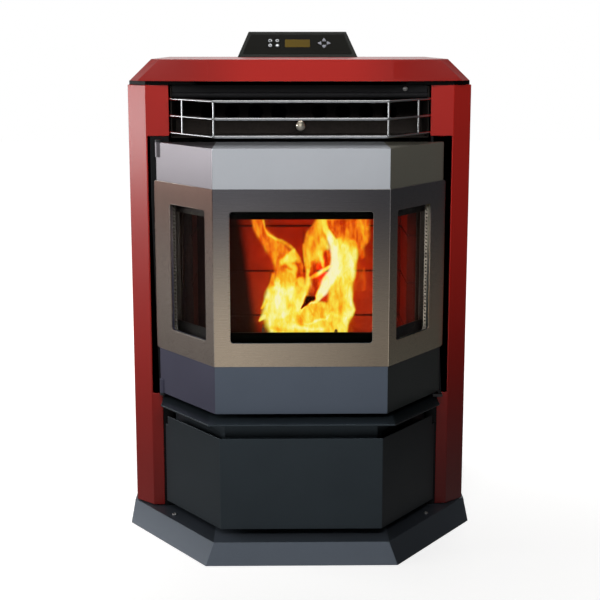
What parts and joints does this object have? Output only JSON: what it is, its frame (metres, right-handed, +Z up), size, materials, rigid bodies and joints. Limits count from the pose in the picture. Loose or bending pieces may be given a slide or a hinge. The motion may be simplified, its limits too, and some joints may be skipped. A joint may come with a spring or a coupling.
{
  "type": "pellet stove",
  "caption": "Free-standing bay-front pellet stove with a hinged glass door, hopper lid, ash drawer, auger feed, blowers and a tilted control panel.",
  "frame": {"origin": "on the floor under the stove, on its centre line, at the mid depth of the base", "axes": "+X to the right of a person facing the stove, +Y to its back, +Z up"},
  "size_m": [0.588, 0.645, 0.843],
  "materials": {
    "red_enamel": "satin",
    "graphite_paint": "satin metallic",
    "black_paint": "matt heat-proof",
    "trim_steel": "brushed",
    "chrome_wire": "polished",
    "knob_metal": "polished",
    "heat_glass": "smoked ceramic glass",
    "rope": "braided glass fibre",
    "firebrick": "rough",
    "pot_iron": "cast",
    "boiler_steel": "sooty steel",
    "zinc_sheet": "galvanised",
    "housing_plastic": "fine grain",
    "face_film": "gloss",
    "display_film": "gloss",
    "key_cap": "satin",
    "screw_zinc": "plated",
    "motor_black": "semi gloss",
    "inlet_plastic": "plain"
  },
  "bodies": {
    "stove": {"base_plinth": "graphite_paint", "base_pan": "black_paint", "cabinet_side_left": "black_paint", "cabinet_side_right": "black_paint", "side_panel_left": "red_enamel", "side_panel_right": "red_enamel", "rear_panel": "black_paint", "top_panel": "red_enamel", "lid_hinge": "zinc_sheet", "hopper_bin": "zinc_sheet", "control_housing": "housing_plastic", "control_face": "face_film", "display_window": "display_film", "heat_outlet_box": "black_paint", "outlet_valance": "black_paint", "grille_rods": "chrome_wire", "firebox_shell": "boiler_steel", "firebrick_back": "firebrick", "firebrick_sides": "firebrick", "burn_pot": "pot_iron", "igniter": "zinc_sheet", "exchanger_tubes": "boiler_steel", "hinge_brackets": "black_paint", "latch_keeper": "black_paint", "ledge_shelf": "graphite_paint", "drawer_runners": "zinc_sheet", "auger_tube": "boiler_steel", "auger_gearmotor": "motor_black", "exhaust_blower": "zinc_sheet", "exhaust_pipe": "black_paint", "convection_blower": "zinc_sheet", "intake_pipe": "zinc_sheet", "power_inlet": "inlet_plastic", "panel_screws": "screw_zinc"},
    "door": {"door_frame": "graphite_paint", "door_trim": "trim_steel", "glass_centre": "heat_glass", "glass_left": "heat_glass", "glass_right": "heat_glass", "glass_gaskets": "rope", "glass_clips": "zinc_sheet", "door_gasket": "rope"},
    "latch": {"door_latch": "zinc_sheet"},
    "lid": {"hopper_lid": "red_enamel", "lid_gasket": "rope"},
    "ash_drawer": {"drawer_front": "graphite_paint", "ash_pan": "zinc_sheet"},
    "scraper": {"tube_scraper": "boiler_steel", "scraper_knob": "knob_metal"},
    "auger": {"auger_screw": "zinc_sheet"},
    "exhaust_fan": {"exhaust_impeller": "zinc_sheet"},
    "room_fan": {"convection_wheel": "zinc_sheet"},
    "round_key_1_body": {"round_key_1": "key_cap"},
    "round_key_2_body": {"round_key_2": "key_cap"},
    "round_key_3_body": {"round_key_3": "key_cap"},
    "round_key_4_body": {"round_key_4": "key_cap"},
    "arrow_key_up_body": {"arrow_key_up": "key_cap"},
    "arrow_key_down_body": {"arrow_key_down": "key_cap"},
    "arrow_key_left_body": {"arrow_key_left": "key_cap"},
    "arrow_key_right_body": {"arrow_key_right": "key_cap"}
  },
  "joints": [
    {"name": "door_hinge", "type": "hinge", "parent": "stove", "child": "door", "pos_m": [-0.233, -0.118, 0.45], "axis": [0, 0, -1], "range_deg": [0, 100]},
    {"name": "latch_turn", "type": "hinge", "parent": "door", "child": "latch", "pos_m": [0.205, -0.128, 0.236], "axis": [0, 0, -1], "range_deg": [0, 90]},
    {"name": "lid_hinge_turn", "type": "hinge", "parent": "stove", "child": "lid", "pos_m": [0, 0.195, 0.789], "axis": [-1, 0, 0], "range_deg": [0, 75]},
    {"name": "drawer_slide", "type": "slide", "parent": "stove", "child": "ash_drawer", "axis": [0, -1, 0], "range_m": [0, 0.2]},
    {"name": "scraper_slide", "type": "slide", "parent": "stove", "child": "scraper", "axis": [0, -1, 0], "range_m": [0, 0.034]},
    {"name": "auger_turn", "type": "hinge", "parent": "stove", "child": "auger", "pos_m": [0, 0.2, 0.4], "axis": [0, -0.7071, 0.7071], "continuous": true},
    {"name": "exhaust_fan_turn", "type": "hinge", "parent": "stove", "child": "exhaust_fan", "pos_m": [-0.095, 0.2, 0.15], "axis": [1, 0, 0], "continuous": true},
    {"name": "room_fan_turn", "type": "hinge", "parent": "stove", "child": "room_fan", "pos_m": [0.112, 0.205, 0.13], "axis": [1, 0, 0], "continuous": true},
    {"name": "round_key_1_press", "type": "slide", "parent": "stove", "child": "round_key_1_body", "axis": [0, 0.7378, -0.675], "range_m": [0, 0.0008], "stiffness_N_per_m": 400, "springref_m": -0.001},
    {"name": "round_key_2_press", "type": "slide", "parent": "stove", "child": "round_key_2_body", "axis": [0, 0.7378, -0.675], "range_m": [0, 0.0008], "stiffness_N_per_m": 400, "springref_m": -0.001},
    {"name": "round_key_3_press", "type": "slide", "parent": "stove", "child": "round_key_3_body", "axis": [0, 0.7378, -0.675], "range_m": [0, 0.0008], "stiffness_N_per_m": 400, "springref_m": -0.001},
    {"name": "round_key_4_press", "type": "slide", "parent": "stove", "child": "round_key_4_body", "axis": [0, 0.7378, -0.675], "range_m": [0, 0.0008], "stiffness_N_per_m": 400, "springref_m": -0.001},
    {"name": "arrow_key_up_press", "type": "slide", "parent": "stove", "child": "arrow_key_up_body", "axis": [0, 0.7378, -0.675], "range_m": [0, 0.0008], "stiffness_N_per_m": 400, "springref_m": -0.001},
    {"name": "arrow_key_down_press", "type": "slide", "parent": "stove", "child": "arrow_key_down_body", "axis": [0, 0.7378, -0.675], "range_m": [0, 0.0008], "stiffness_N_per_m": 400, "springref_m": -0.001},
    {"name": "arrow_key_left_press", "type": "slide", "parent": "stove", "child": "arrow_key_left_body", "axis": [0, 0.7378, -0.675], "range_m": [0, 0.0008], "stiffness_N_per_m": 400, "springref_m": -0.001},
    {"name": "arrow_key_right_press", "type": "slide", "parent": "stove", "child": "arrow_key_right_body", "axis": [0, 0.7378, -0.675], "range_m": [0, 0.0008], "stiffness_N_per_m": 400, "springref_m": -0.001}
  ]
}
